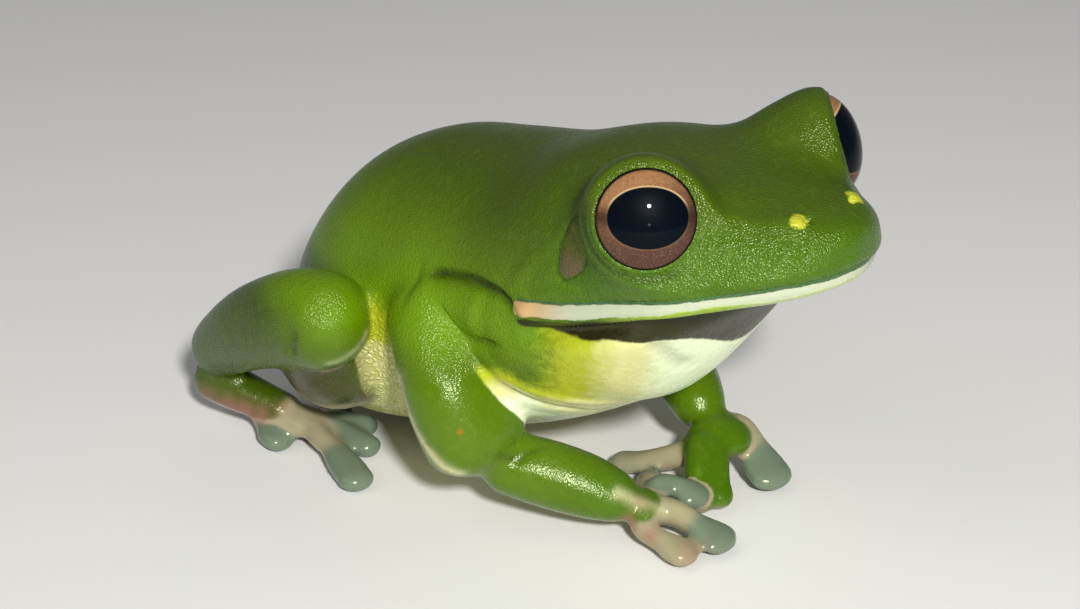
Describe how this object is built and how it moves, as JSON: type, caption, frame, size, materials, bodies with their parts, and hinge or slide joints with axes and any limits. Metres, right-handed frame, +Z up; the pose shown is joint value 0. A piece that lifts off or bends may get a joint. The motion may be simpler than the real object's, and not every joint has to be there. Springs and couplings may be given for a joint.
{
  "type": "tree frog",
  "caption": "Life-size still model of a crouching white-lipped tree frog: head raised, arms crossed under the chin, hind legs folded, discs on every finger and toe.",
  "frame": {"origin": "on the floor, under the middle of the model's box", "axes": "+Z up, the frog faces -Y, its left side is +X"},
  "size_m": [0.0576, 0.0816, 0.0493],
  "materials": {
    "skin": "moist smooth skin, leaf green above, cream below, with a white lip line",
    "eye": "wet gloss over a copper iris and a black pupil"
  },
  "bodies": {
    "root": {"head": "skin", "lower_jaw": "skin", "trunk": "skin", "eye_left": "eye", "eardrum_left": "skin", "upper_arm_left": "skin", "forearm_left": "skin", "hand_left": "skin", "thigh_left": "skin", "shank_left": "skin", "tarsus_left": "skin", "foot_left": "skin", "eye_right": "eye", "eardrum_right": "skin", "upper_arm_right": "skin", "forearm_right": "skin", "hand_right": "skin", "thigh_right": "skin", "shank_right": "skin", "tarsus_right": "skin", "foot_right": "skin"}
  },
  "joints": []
}
